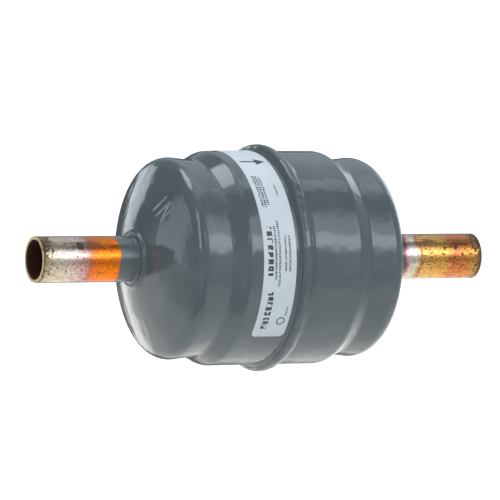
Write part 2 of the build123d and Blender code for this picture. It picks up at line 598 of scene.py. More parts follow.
@dataclass(frozen=True)
class GlossPaint:
    """Stoved slate-grey gloss paint, with slight sags, a fine orange peel and a stamp.

    Attributes:
        colour, deep: the paint on its sags and between them.
        dust_and_highlight, specks: colour of what settles on it, also used for the painted
            highlight on the stamp's groove walls, and its specks.
        peel, peel_depth: width and height of the orange peel.
        sag, sag_depth: the same of the sags.
        bell: where the expanded bell starts and ends along the axis, in mm.
        bell_dent, bell_depth: width and height of the bell's dents.
        strokes: the stamped letters' grooves on the inlet's dome, their walls lightened as a
            painted highlight.
        stamped_below: the grooves lie where X is less than this, in mm.
    """

    name: str = "shell_paint"
    colour: Colour = (0.073, 0.091, 0.098)
    deep: Colour = (0.065, 0.082, 0.089)
    dust_and_highlight: Colour = (0.19, 0.21, 0.215)
    roughness: float = 0.1
    specks: Mottle = Mottle(0.45 * MM, 0.79, 0.84, detail=1.0, strength=0.3)
    peel: float = 1.5 * MM
    peel_depth: float = 0.0022 * MM
    sag: float = 9.0 * MM
    sag_depth: float = 0.4 * MM
    bell: tuple[float, float] = (-2.1, 2.4)
    bell_dent: float = 4.4 * MM
    bell_depth: float = 0.42 * MM
    strokes: tuple[StampStroke, ...] = ()
    stroke_half_width: float = 0.45
    stroke_depth: float = 0.2 * MM
    stamped_below: float = -30.0

    def material(self) -> bpy.types.Material:
        """Mixes the paint.

        Returns:
            Its material.
        """
        graph = Graph.for_material(self.name)
        place = graph.position()
        cloud = graph.noise(place.vector, self.sag, 2.0)
        base = graph.mix(self.deep, self.colour, cloud.over(0.3, 0.65))
        base = graph.mix(base, self.dust_and_highlight, self.specks.mask(graph, place))
        peel = graph.noise(place.vector, self.peel, 1.0)
        dents = graph.noise(graph.stretched(place.vector, (0.6, 1.0, 1.0)), self.bell_dent, 1.0)
        on_bell = place.x.between(*self.bell, 0.5)
        height = peel * self.peel_depth + cloud * self.sag_depth
        height = height + dents * on_bell * self.bell_depth
        if self.strokes:
            groove = self._groove(place)
            # painted highlight: the grooves' walls are lightened as if they caught the light
            groove_highlight = groove.over(0.05, 0.4) * groove.over(0.95, 0.6)
            base = graph.mix(base, self.dust_and_highlight, groove_highlight * 0.75)
            height = height - groove.over(0.0, 1.0) * self.stroke_depth
        return graph.surface(
            {
                "Base Color": base,
                "Roughness": self.roughness + (cloud - 0.5) * 0.05,
                "IOR": 1.5,
                "Normal": graph.bump(height, 1.0),
            }
        )

    def _groove(self, place: Place) -> Sig:
        """Works out the stamped strokes.

        Args:
            place: where the surface is.

        Returns:
            Their depth, from 0 on the surface to 1 along their middle.
        """
        nearest: Sig | None = None
        for stroke in self.strokes:
            (y0, z0), (y1, z1) = stroke.start, stroke.end
            length = math.hypot(y1 - y0, z1 - z0)
            along_y, along_z = (y1 - y0) / length, (z1 - z0) / length
            y, z = place.y - y0, place.z - z0
            along = (y * along_y + z * along_z).most(0.0).least(length)
            off_y, off_z = y - along * along_y, z - along * along_z
            apart = (off_y * off_y + off_z * off_z).sqrt()
            nearest = apart if nearest is None else nearest.least(apart)
        return nearest.over(self.stroke_half_width, 0.0) * (place.x < self.stamped_below)


@dataclass(frozen=True)
class HeatBand:
    """A colour that a stub has from a distance on, measured in mm from the neck's tip."""

    reach: float
    colour: Colour


class StubEnd(Enum):
    """Which end a stub is at; the value is the side of the origin."""

    INLET = -1
    OUTLET = 1


@dataclass(frozen=True)
class HeatTint:
    """How one stub was heated and sprayed, with lengths in mm from the neck's tip.

    Attributes:
        bands: the film's colours along the tube.
        overspray: how far the body's paint reaches.
        lines: colour of the contour lines.
        line_reach: where they are, along the tube.
        line_turn: where they are, in degrees round the tube from the front, upwards.
        flake: a large flake of oxide: its reach, its turn in degrees and its radius.
    """

    bands: tuple[HeatBand, ...]
    overspray: float
    lines: Colour
    line_reach: tuple[float, float]
    line_turn: tuple[float, float]
    flake: Triple


@dataclass(frozen=True)
class TintedCopper:
    """Copper tube with the oxide colours that brazing leaves, a band of painted dark reflection,
    and overspray by the neck.

    Attributes:
        end: which end the stub is at.
        neck_tip: how far from the origin the neck ends, in mm, as are the next two.
        length: how far the stub reaches out of the neck.
        bore_radius: radius of its bore.
        tint: how it was heated and sprayed.
        wander: how far the bands stray along the tube, in mm.
        drift, fine, grain: size of the slow, the fine and the finest noise, in metres.
        texture_depth: height of the film's and the oxide's relief, in metres.
        arc_of_degree: how far a degree is round the tube, in mm.
        oxide, bore, rim, paint: colours of the oxide (also used for the painted dark reflection),
            the bore, the mouth and the overspray.
        olive, rose, shade: what breaks the film's colour.
        olive_clouds, rose_clouds, shading: their patches.
        contour, contours: size of the noise that the fine lines follow, in metres, and how
            many lines its whole range has.
        flakes: size of the noise that the flakes follow, in metres.
        reflection_streaks, reflection_turn: a painted dark reflection, a band along the tube's
            upper side in the oxide's colour, and where it is round the tube, in degrees.
        sooted_turn: where the flakes by the mouth are thick, in degrees.
        spots: the oxide's spots.
    """

    name: str
    end: StubEnd
    neck_tip: float
    length: float
    bore_radius: float
    tint: HeatTint
    wander: float = 1.8
    drift: float = 5.0 * MM
    fine: float = 1.1 * MM
    grain: float = 0.4 * MM
    texture_depth: float = 0.09 * MM
    arc_of_degree: float = 0.11
    oxide: Colour = (0.065, 0.034, 0.018)
    bore: Colour = (0.05, 0.014, 0.009)
    rim: Colour = (0.5, 0.38, 0.17)
    paint: Colour = (0.075, 0.091, 0.097)
    olive: Colour = (0.33, 0.25, 0.08)
    olive_clouds: Mottle = Mottle(
        1.3 * MM, 0.5, 0.68, detail=3.0, weave=(0.2, 1.0, 1.0), strength=0.4
    )
    rose: Colour = (0.5, 0.09, 0.06)
    rose_clouds: Mottle = Mottle(2.6 * MM, 0.56, 0.7, detail=3.0, roughness=0.6, strength=0.45)
    shade: Colour = (0.3, 0.3, 0.3)
    shading: Mottle = Mottle(0.7 * MM, 0.35, 0.7, detail=3.0, roughness=0.7, strength=0.6)
    reflection_streaks: Mottle = Mottle(
        1.6 * MM, 0.36, 0.56, detail=3.0, roughness=0.6, weave=(0.3, 1.0, 1.0)
    )
    contour: float = 2.2 * MM
    contours: float = 5.0
    flakes: float = 0.9 * MM
    reflection_turn: tuple[float, float] = (31.0, 50.0)
    sooted_turn: tuple[float, float] = (12.0, 100.0)
    spots: Mottle = Mottle(1.3 * MM, 0.77, 0.8, detail=0.0, strength=0.7)

    def material(self) -> bpy.types.Material:
        """Colours the stub from its bore outwards.

        Returns:
            Its material.
        """
        graph = Graph.for_material(self.name)
        place = graph.position()
        reach = place.x * float(self.end.value) - self.neck_tip
        drift = graph.noise(place.vector, self.drift, 2.0, 0.55) - 0.5
        fine = graph.noise(place.vector, self.fine, 4.0, 0.65)
        grain = graph.noise(place.vector, self.grain, 2.0)
        metal = self._heat_colours(graph, place, reach, drift, fine)
        metal = graph.mix(metal, self.tint.lines, self._lines(graph, place, reach))
        oxide_and_reflection = self._oxide_and_reflection(graph, place, reach, fine)
        metal = graph.mix(metal, self.oxide, oxide_and_reflection)
        rim = (self.length - reach).over(0.2, 0.1)
        metal = graph.mix(metal, self.rim, rim * fine.over(0.3, 0.5))
        wall = place.radius.over(self.bore_radius + 0.02, self.bore_radius + 0.14).most(rim)
        colour = graph.mix(self.bore, metal, wall)
        frayed = reach + (fine - 0.5) * 0.9 + drift * 1.6
        sprayed = self.tint.overspray
        spray = frayed.over(sprayed + 0.2, sprayed - 0.2) * wall
        colour = graph.mix(colour, self.paint, spray)
        bare = 1.0 - spray
        rough = 0.15 + fine * 0.14 + oxide_and_reflection * 0.3
        relief = fine * 0.6 + grain * 0.2 + oxide_and_reflection * 0.3
        return graph.surface(
            {
                "Base Color": colour,
                "Metallic": bare * (1.0 - oxide_and_reflection * 0.6) * wall.most(0.3),
                "Roughness": rough * bare + spray * 0.14 + (1.0 - wall) * 0.3,
                "Normal": graph.bump(relief, self.texture_depth),
            }
        )

    def _heat_colours(self, graph: Graph, place: Place, reach: Sig, drift: Sig, fine: Sig) -> Sig:
        """Colours the oxide film in bands along the tube, broken by olive and rose clouds.

        Args:
            graph: the stub's graph.
            place: where the surface is.
            reach: distance from the neck's tip, in mm.
            drift: slow noise round 0, which moves the bands.
            fine: fine noise from 0 to 1, which frays them.

        Returns:
            The film's colour.
        """
        warped = (reach + drift * (2 * self.wander) + (fine - 0.5) * 1.4) / self.length
        stops = [(band.reach / self.length, band.colour) for band in self.tint.bands]
        metal = graph.ramp(warped, stops)
        metal = graph.mix(metal, self.olive, self.olive_clouds.mask(graph, place))
        metal = graph.mix(metal, self.rose, self.rose_clouds.mask(graph, place))
        return graph.mix(metal, self.shade, self.shading.mask(graph, place), "MULTIPLY")

    def _lines(self, graph: Graph, place: Place, reach: Sig) -> Sig:
        """Draws the fine contour lines where the film's colour changes order.

        Args:
            graph: the stub's graph.
            place: where the surface is.
            reach: distance from the neck's tip, in mm.

        Returns:
            The lines' mask.
        """
        film = graph.noise(place.vector, self.contour, 1.0)
        thin = ((film * self.contours).remainder(1.0) - 0.5).abs().over(0.13, 0.05)
        zone = reach.between(*self.tint.line_reach, 0.8)
        return thin * zone * place.turn.between(*self.tint.line_turn, 8.0)

    def _oxide_and_reflection(self, graph: Graph, place: Place, reach: Sig, fine: Sig) -> Sig:
        """Draws the dark oxide: flakes by the mouth, one large flake and spots, and a band above
        that is a painted dark reflection in the oxide's colour.

        Args:
            graph: the stub's graph.
            place: where the surface is.
            reach: distance from the neck's tip, in mm.
            fine: fine noise from 0 to 1, which frays it.

        Returns:
            The mask of the oxide and of the painted dark reflection.
        """
        from_mouth = self.length - reach
        flakes = graph.noise(place.vector, self.flakes, 4.0, 0.7)
        above = place.turn.between(*self.sooted_turn, 18.0)
        cover = from_mouth.over(7.0, 0.5) * (0.55 + above * 0.45)
        edge = (flakes + cover * 0.24).over(0.64, 0.72)
        rim = from_mouth.over(1.3, 0.4) * fine.over(0.36, 0.55)
        # painted dark reflection: a band along the tube's upper side, in the oxide's colour, where
        # the metal reflects the dark room above
        band = place.turn.between(*self.reflection_turn, 7.0) * self.reflection_streaks.mask(graph, place)
        along, turn, size = self.tint.flake
        off_x, off_arc = reach - along, (place.turn - turn) * self.arc_of_degree
        apart = (off_x * off_x + off_arc * off_arc).sqrt() + (fine - 0.5) * 2.2
        flake = apart.over(size, size - 0.3)
        spots = self.spots.mask(graph, place)
        return edge.most(rim).most(band * 0.7).most(flake).most(spots).least(1.0)


@dataclass(frozen=True)
class PrintBar:
    """A dark printed bar or a row of them, in mm.

    Attributes:
        x: its middle, along the axis.
        low: where it starts round the label, in mm of arc from the front, upwards.
        high: where it ends.
        half_width: half its width along the axis.
        pitch: from one mark of the row to the next, along the arc.
    """

    x: float
    low: float
    high: float
    half_width: float
    pitch: float


@dataclass(frozen=True)
class PrintedFilm:
    """Satin label film with a flow arrow, rows of plain bars and a ring.

    Attributes:
        radius: the label's, to turn angles into arcs; all lengths here are in mm.
        bars: the rows.
        arrow_middle: where the arrow's middle line is, along the arc.
        arrow_tail, arrow_neck, arrow_tip: its places along the axis.
        skew: how far the print leans along the axis for each mm of height.
        arrow_shaft, arrow_head: half widths of the arrow's shaft and head.
        name_ring: place along the axis, place along the arc and radius of the ring.
        edge: how far the rows' edges fade.
        mark: where a mark starts and ends, as parts of its row's pitch.
        clouds: the film's patches, which are its own colour; between them it is shaded.
        unworn: where the print is whole.
    """

    name: str
    radius: float
    bars: tuple[PrintBar, ...]
    arrow_middle: float
    arrow_tail: float
    arrow_neck: float
    arrow_tip: float
    skew: float
    name_ring: Triple
    arrow_shaft: float = 0.34
    arrow_head: float = 1.75
    edge: float = 0.06
    mark: tuple[float, float] = (0.12, 0.86)
    film: Colour = (0.5, 0.535, 0.57)
    shade: Colour = (0.465, 0.5, 0.535)
    clouds: Mottle = Mottle(9.0 * MM, 0.3, 0.65)
    ink: Colour = (0.02, 0.026, 0.03)
    unworn: Mottle = Mottle(0.35 * MM, 0.1, 0.34, detail=1.0)
    roughness: float = 0.38

    def material(self) -> bpy.types.Material:
        """Prints the label.

        Returns:
            Its material.
        """
        graph = Graph.for_material(self.name)
        place = graph.position()
        x = place.x + place.z * self.skew
        arc = place.turn * (self.radius / DEGREES)
        ink = self._arrow(x, arc)
        for bar in self.bars:
            ink = ink.most(self._bar(graph, bar, x, arc))
        ink = ink.most(self._ring(x, arc))
        ink = ink * self.unworn.mask(graph, place)
        film = graph.mix(self.shade, self.film, self.clouds.mask(graph, place))
        fibre = graph.noise(place.vector, 2.0 * MM, 2.0)
        return graph.surface(
            {
                "Base Color": graph.mix(film, self.ink, ink),
                "Roughness": self.roughness + fibre * 0.08,
                "Specular IOR Level": 0.4,
                "Normal": graph.bump(fibre, 0.008 * MM),
            }
        )

    def _arrow(self, x: Sig, arc: Sig) -> Sig:
        """Draws the arrow that shows the flow.

        Args:
            x: place along the axis, in mm.
            arc: place round the label, in mm.

        Returns:
            The arrow's mask.
        """
        off = (arc - self.arrow_middle).abs()
        shaft = x.between(self.arrow_tail, self.arrow_neck, 0.04) * (off < self.arrow_shaft)
        taper = (self.arrow_tip - x) * (self.arrow_head / (self.arrow_tip - self.arrow_neck))
        head = (off < taper) * (x > self.arrow_neck)
        return shaft.most(head)

    def _bar(self, graph: Graph, bar: PrintBar, x: Sig, arc: Sig) -> Sig:
        """Draws one row of small marks that read as print and spell nothing.

        Args:
            graph: the label's graph.
            bar: the row.
            x: place along the axis, in mm.
            arc: place round the label, in mm.

        Returns:
            The row's mask.
        """
        row = x.between(bar.x - bar.half_width, bar.x + bar.half_width, self.edge)
        row = row * arc.between(bar.low, bar.high, self.edge)
        beat = (arc / bar.pitch).remainder(1.0)
        gaps = beat.between(*self.mark, 0.08)
        grain = bar.half_width * 0.95
        parts = {0: arc / grain, 1: x / grain, 2: bar.x * 3.7}
        marks = graph.noise(graph.node("ShaderNodeCombineXYZ", {}, parts), 1.0, 0.0)
        return row * gaps * marks.over(0.35, 0.43)

    def _ring(self, x: Sig, arc: Sig) -> Sig:
        """Draws a small plain ring.

        Args:
            x: place along the axis, in mm.
            arc: place round the label, in mm.

        Returns:
            The ring's mask.
        """
        middle_x, middle_arc, radius = self.name_ring
        off_x, off_arc = x - middle_x, arc - middle_arc
        apart = (off_x * off_x + off_arc * off_arc).sqrt()
        return (apart - radius).abs().over(0.22, 0.14)


@dataclass(frozen=True)
class BareMetal:
    """Bare pressed steel, rolled one way and a little dull.

    Attributes:
        colour, stain: where it is clean and where it is dull.
        clean: the patches that are clean.
    """

    name: str = "bare_steel"
    colour: Colour = (0.5, 0.5, 0.49)
    stain: Colour = (0.36, 0.34, 0.32)
    clean: Mottle = Mottle(7.0 * MM, 0.3, 0.6, detail=3.0)
    roughness: float = 0.34

    def material(self) -> bpy.types.Material:
        """Grains the steel.

        Returns:
            Its material.
        """
        graph = Graph.for_material(self.name)
        place = graph.position()
        grain = graph.noise(graph.stretched(place.vector, (1.0, 1.0, 0.06)), 0.5 * MM, 3.0)
        colour = graph.mix(self.stain, self.colour, self.clean.mask(graph, place))
        return graph.surface(
            {
                "Base Color": colour,
                "Metallic": 1.0,
                "Roughness": self.roughness + grain * 0.15,
                "Normal": graph.bump(grain, 0.01 * MM),
            }
        )


@dataclass(frozen=True)
class PorousFill:
    """Pressed fibre or a moulded desiccant block: pale, grainy and matt.

    Attributes:
        colour, shade: of the grain's tops and of its hollows.
        grain, depth: width and height of the grain, in metres.
        weave: how the grain is squeezed along each axis.
    """

    name: str
    colour: Colour
    shade: Colour
    grain: float
    depth: float
    weave: Triple = (1.0, 1.0, 1.0)

    def material(self) -> bpy.types.Material:
        """Grains the fill.

        Returns:
            Its material.
        """
        graph = Graph.for_material(self.name)
        place = graph.position()
        grain = graph.noise(graph.stretched(place.vector, self.weave), self.grain, 4.0, 0.7)
        colour = graph.mix(self.shade, self.colour, grain.over(0.35, 0.6))
        return graph.surface(
            {
                "Base Color": colour,
                "Roughness": 0.8 + grain * 0.15,
                "Normal": graph.bump(grain, self.depth),
            }
        )


# --------------------------------------------------------------------------------------------
# This drier's fills, heat colours and marks


PRESSED_FIBRE = PorousFill(
    name="fibre_pad",
    colour=(0.78, 0.73, 0.62),
    shade=(0.6, 0.55, 0.45),
    grain=0.8 * MM,
    depth=0.12 * MM,
    weave=(0.2, 1.0, 1.0),
)

DESICCANT = PorousFill(
    name="desiccant",
    colour=(0.72, 0.68, 0.6),
    shade=(0.55, 0.5, 0.43),
    grain=0.6 * MM,
    depth=0.1 * MM,
)

INLET_TINT = HeatTint(
    bands=(
        HeatBand(0.0, (0.5, 0.1, 0.01)),
        HeatBand(6.0, (0.82, 0.19, 0.012)),
        HeatBand(12.0, (0.78, 0.18, 0.015)),
        HeatBand(14.5, (0.6, 0.15, 0.06)),
        HeatBand(15.6, (0.5, 0.32, 0.29)),
        HeatBand(19.0, (0.6, 0.5, 0.45)),
        HeatBand(25.0, (0.6, 0.52, 0.4)),
        HeatBand(28.8, (0.42, 0.34, 0.18)),
    ),
    overspray=5.9,
    lines=(0.42, 0.1, 0.14),
    line_reach=(15.0, 20.5),
    line_turn=(-80.0, 8.0),
    flake=(17.4, 36.0, 1.5),
)

OUTLET_TINT = HeatTint(
    bands=(
        HeatBand(0.0, (0.07, 0.06, 0.06)),
        HeatBand(4.2, (0.1, 0.08, 0.085)),
        HeatBand(4.8, (0.42, 0.14, 0.15)),
        HeatBand(5.6, (0.56, 0.46, 0.46)),
        HeatBand(7.2, (0.62, 0.58, 0.48)),
        HeatBand(8.4, (0.58, 0.46, 0.22)),
        HeatBand(9.0, (0.52, 0.12, 0.09)),
        HeatBand(9.8, (0.68, 0.4, 0.12)),
        HeatBand(17.0, (0.68, 0.35, 0.08)),
        HeatBand(20.0, (0.62, 0.17, 0.07)),
        HeatBand(24.0, (0.64, 0.22, 0.05)),
        HeatBand(27.0, (0.52, 0.27, 0.07)),
        HeatBand(28.8, (0.2, 0.1, 0.05)),
    ),
    overspray=4.2,
    lines=(0.1, 0.045, 0.015),
    line_reach=(9.5, 24.0),
    line_turn=(-35.0, 30.0),
    flake=(20.6, 24.0, 0.9),
)

STAMP = (
    StampStroke((-8.23, 13.32), (-12.17, 16.71)),
    StampStroke((-10.08, 11.76), (-14.22, 15.33)),
    StampStroke((-14.22, 15.33), (-12.38, 10.39)),
    StampStroke((-12.38, 10.39), (-16.24, 14.14)),
)

LABEL_BARS = (
    PrintBar(-11.55, 14.2, 25.2, 0.34, 0.62),
    PrintBar(-10.65, 14.2, 25.2, 0.34, 0.62),
    PrintBar(-9.75, 15.0, 24.6, 0.3, 0.62),
    PrintBar(-6.1, 18.0, 21.8, 0.22, 0.8),
    PrintBar(-11.2, -4.8, 8.6, 0.82, 1.9),
    PrintBar(-9.55, -6.0, 8.8, 0.34, 0.6),
    PrintBar(-8.4, -8.0, 10.4, 0.34, 0.6),
    PrintBar(-6.6, -3.6, 6.2, 0.32, 0.6),
    PrintBar(-5.35, -3.8, 6.2, 0.32, 0.6),
    PrintBar(-10.5, -21.0, -9.4, 0.95, 1.5),
    PrintBar(-4.8, -16.6, -13.8, 0.24, 0.8),
)


# --------------------------------------------------------------------------------------------
# Sub-assemblies


@dataclass
class ShellSizes:
    """Outside sizes that both drawn cups share; places are for the outlet side."""

    wall: float = 1.8 * MM
    body_radius: float = 29.62 * MM
    body_half: float = 16.9 * MM
    waist_radius: float = 27.13 * MM
    waist_run: float = 4.6 * MM
    shoulder_radius: float = 28.09 * MM
    shoulder_run: float = 9.04 * MM
    dome_height: float = 7.76 * MM
    dome_radius: float = 75.0 * MM
    neck_height: float = 0.95 * MM
    neck_bore: float = 6.2 * MM
    body_round: float = 3.45 * MM
    waist_round: float = 3.0 * MM
    shoulder_round: float = 4.63 * MM
    neck_round: float = 0.6 * MM
    neck_tip_round: float = 0.45 * MM

    def __post_init__(self) -> None:
        """Works out the corners and the dome's centre."""
        self.neck_radius = self.neck_bore + self.wall
        waist_x = self.body_half + self.waist_run
        shoulder_x = waist_x + self.shoulder_run
        self.neck_x = shoulder_x + self.dome_height
        self.tip_x = self.neck_x + self.neck_height
        self.body_corner = Vector((self.body_half, self.body_radius))
        self.waist_corner = Vector((waist_x, self.waist_radius))
        self.shoulder_corner = Vector((shoulder_x, self.shoulder_radius))
        foot = Vector((self.neck_x, self.neck_radius))
        chord = foot - self.shoulder_corner
        square = Vector((chord.y, -chord.x)).normalized()
        sagging = math.sqrt(self.dome_radius**2 - (chord.length / 2) ** 2)
        self.dome_centre = (foot + self.shoulder_corner) / 2 + square * sagging

    def dome_x(self, radius: float, depth: float) -> float:
        """Where the dome has this radius, so deep below its outer face."""
        rise = radius - self.dome_centre.y
        return self.dome_centre.x + math.sqrt((self.dome_radius - depth) ** 2 - rise**2)

    def outer_line(self, mouth: Section, bell_edge_round: float, lip_round: float) -> Section:
        """Outer face from the mouth to the neck's bore, with every bend rounded.

        Args:
            mouth: the mouth's own corners, the open end first.
            bell_edge_round: rounding of the second corner of a bell, 0 on a plain mouth.
            lip_round: rounding of a bell's lip.

        Returns:
            The face's points.
        """
        corners = mouth + [self.body_corner, self.waist_corner, self.shoulder_corner]
        line: Section = []
        if bell_edge_round:
            bore_edge = corners[0] - Vector((0, self.wall))
            line += [bore_edge]
            line += rounded_corner(bore_edge, *corners[:2], lip_round)
            line += rounded_corner(*corners[:3], bell_edge_round)
            line += [corners[2]]
        else:
            line += [corners[0]]
        line += rounded_corner(corners[-4], self.body_corner, self.waist_corner, self.body_round)
        line += rounded_corner(*corners[-3:], self.waist_round)
        return line + self._end_line()

    def _end_line(self) -> Section:
        """Draws the shoulder's knuckle, the dome's crown and the neck, down to its bore.

        Returns:
            The points, from the end of the shoulder's wall.
        """
        along = (self.shoulder_corner - self.waist_corner).normalized()
        outward = Vector((-along.y, along.x))
        start = self.waist_corner - outward * self.shoulder_round
        knuckle = self._reached(start, along, self.dome_radius - self.shoulder_round)
        root_radius = self.neck_radius + self.neck_round
        root = Vector((self.dome_x(root_radius, -self.neck_round), root_radius))
        wall_angle = math.degrees(math.atan2(outward.y, outward.x))
        crown_start = self._angle_from_dome(knuckle)
        crown_end = self._angle_from_dome(root)
        crown = (self.dome_centre, self.dome_radius, crown_start, crown_end)
        tip = Vector((self.tip_x, self.neck_radius))
        bore = Vector((self.tip_x, self.neck_bore))
        foot = root - Vector((0, self.neck_round))
        line = arc_points(knuckle, self.shoulder_round, wall_angle, crown_start, ARC_STEP / 1.5)
        line += arc_points(*crown, CROWN_STEP)[1:]
        line += arc_points(root, self.neck_round, crown_end + 180, 270, ARC_STEP * 2)[1:]
        line += rounded_corner(foot, tip, bore, self.neck_tip_round)
        return line + [bore]

    def _angle_from_dome(self, point: Vector) -> float:
        """Direction of a point from the dome's centre, in degrees."""
        ray = point - self.dome_centre
        return math.degrees(math.atan2(ray.y, ray.x))

    def _reached(self, start: Vector, along: Vector, radius: float) -> Vector:
        """Goes straight on to a circle round the dome's centre.

        Args:
            start: where the way starts.
            along: its direction, of length 1.
            radius: the circle's radius.

        Returns:
            Where the way leaves the circle.
        """
        offset = start - self.dome_centre
        shift = offset.dot(along)
        travel = -shift + math.sqrt(shift**2 - (offset.length_squared - radius**2))
        return start + along * travel

    def inner_back(self, mouth: Section) -> Section:
        """Draws the inner face from the neck's bore back to the mouth, with its bends sharp.

        Args:
            mouth: the mouth's own corners, the open end first.

        Returns:
            The face's points.
        """
        corners = mouth + [self.body_corner, self.waist_corner, self.shoulder_corner]
        inside = inner_line(corners, self.wall)
        along = (inside[-1] - inside[-2]).normalized()
        radius = self.dome_radius - self.wall
        edge = self._angle_from_dome(self._reached(inside[-1], along, radius))
        start = math.degrees(math.asin((self.neck_bore - self.dome_centre.y) / radius))
        crown = arc_points(self.dome_centre, radius, start, edge, CROWN_STEP * 4)
        return crown + list(reversed(inside[:-1]))


@dataclass
class Shell:
    """The two drawn cups, lapped at the bell and joined by the weld.

    Attributes:
        bell_lip, bell_root: how far the bell reaches past the middle, to the inlet and back.
        bell_wave, bell_wave_size: depth and width of the bell's unevenness.
        bell_wave_from: how high above the body it starts.
        bell_wave_rise: over how much more height it sets in.
        weld_open_arc, weld_open_middle: the stretch left open, in degrees from the front.
        weld_ripple, weld_ripples: their depth, and how many there are in a full turn.
        skin: what lies this close to the body or the lip stays where it is.
    """

    sizes: ShellSizes = field(default_factory=ShellSizes)
    lap_clearance: float = 0.08 * MM
    bell_lip: float = 1.9 * MM
    bell_root: float = 1.7 * MM
    bell_step_run: float = 0.6 * MM
    bell_round: float = 1.85 * MM
    lip_round: float = 1.2 * MM
    lap_end_gap: float = 0.15 * MM
    steps: int = 240
    bell_wave: float = 0.07 * MM
    bell_wave_size: float = 9 * MM
    bell_wave_from: float = 0.3 * MM
    bell_wave_rise: float = 0.8 * MM
    weld_leg: float = 0.7 * MM
    weld_crown: float = 0.08 * MM
    weld_open_arc: float = 27.0
    weld_open_middle: float = -86.5
    weld_ripple: float = 0.05 * MM
    weld_ripples: int = 150
    weld_steps: int = 480
    skin: float = 0.05 * MM

    @property
    def bell_radius(self) -> float:
        """Outside radius of the bell."""
        return self.sizes.body_radius + self.lap_clearance + self.sizes.wall

    def build(self) -> list[bpy.types.Object]:
        """Models both cups and the weld."""
        return [self.inlet_cup(), self.outlet_cup(), self.weld()]

    def dress(self, pieces: list[bpy.types.Object], paint: bpy.types.Material) -> None:
        """Paints the cups and the weld and puts them in place of their solids.

        Args:
            pieces: both cups and the weld.
            paint: the body's paint.
        """
        nodes = ("inlet_shell_half", "outlet_shell_half", "seam_weld")
        for piece, node in zip(pieces, nodes):
            placed(dressed(piece, paint), [node])
            log.info("%s: %d faces, painted", piece.name, len(piece.data.polygons))

    def bell_corners(self) -> Section:
        """Places the outer corners of the bell.

        Returns:
            The corners, the lip first.
        """
        return [
            Vector((-self.bell_lip, self.bell_radius)),
            Vector((self.bell_root - self.bell_step_run, self.bell_radius)),
            Vector((self.bell_root, self.sizes.body_radius)),
        ]

    def outlet_cup(self) -> bpy.types.Object:
        """Models the cup with the bell, a little uneven from being expanded.

        Returns:
            The cup.
        """
        mouth = self.bell_corners()
        line = self.sizes.outer_line(mouth, self.bell_round, self.lip_round)
        line += self.sizes.inner_back(mouth)[:-1]
        piece = spun("outlet_cup", with_supports(line, SUPPORT_REACH), self.steps)
        self.unsettle_bell(piece)
        return smoothed(piece)

    def inlet_cup(self) -> bpy.types.Object:
        """Models the cup with the plain mouth, turned round to the inlet side.

        Returns:
            The cup.
        """
        corners = self.bell_corners() + [self.sizes.body_corner]
        step_inside = inner_line(corners, self.sizes.wall)[1].x
        mouth = [Vector((self.lap_end_gap - step_inside, self.sizes.body_radius))]
        line = self.sizes.outer_line(mouth, 0.0, 0.0) + self.sizes.inner_back(mouth)
        mirrored = [Vector((-point.x, point.y)) for point in line]
        return smoothed(spun("inlet_cup", with_supports(mirrored, SUPPORT_REACH), self.steps))

    def unsettle_bell(self, piece: bpy.types.Object) -> None:
        """Moves the bell's outer face inwards by smooth, slight amounts.

        Args:
            piece: the outlet cup.
        """
        low = self.sizes.body_radius + self.bell_wave_from
        for vertex in piece.data.vertices:
            co = vertex.co
            radius = math.hypot(co.y, co.z)
            if radius < low or co.x > self.bell_root:
                continue
            drawn_out = Vector((co.x * 0.3, co.y, co.z)) / self.bell_wave_size
            wave = noise.noise(drawn_out) * 0.5 + 0.5
            share = min(1.0, (radius - low) / self.bell_wave_rise)
            scale = 1 - wave * self.bell_wave * share / radius
            vertex.co = Vector((co.x, co.y * scale, co.z * scale))

    def weld(self) -> bpy.types.Object:
        """Models the bead in the lip's corner, rippled and left open for a short way below.

        Returns:
            The bead.
        """
        toe = Vector((-self.bell_lip - self.weld_leg, self.sizes.body_radius))
        root = Vector((-self.bell_lip, self.sizes.body_radius))
        crown = Vector((-self.bell_lip, self.bell_radius - self.lip_round))
        outward = Vector((-1, 1)).normalized()
        middle = (toe + crown) / 2 + outward * self.weld_crown
        quarter = (toe + middle) / 2 + outward * self.weld_crown / 3
        three_quarter = (crown + middle) / 2 + outward * self.weld_crown / 3
        arc = math.radians(360 - self.weld_open_arc)
        line = [toe, quarter, middle, three_quarter, crown, root]
        piece = spun("weld_bead", line, self.weld_steps, arc)
        start = math.radians(self.weld_open_middle + self.weld_open_arc / 2 - 90)
        turned = Matrix.Rotation(-start - arc, 4, "X")
        for vertex in piece.data.vertices:
            vertex.co = turned @ vertex.co
        self.ripple(piece)
        return smoothed(piece, FILLET_ANGLE)

    def ripple(self, piece: bpy.types.Object) -> None:
        """Draws the bead's face in and out along its length, never out of its own form.

        Args:
            piece: the bead.
        """
        for vertex in piece.data.vertices:
            co = vertex.co
            on_body = math.hypot(co.y, co.z) < self.sizes.body_radius + self.skin
            if on_body or co.x > -self.bell_lip - self.skin:
                continue
            turn = math.atan2(co.z, co.y)
            co.x += (0.5 + 0.5 * math.sin(turn * self.weld_ripples)) * self.weld_ripple


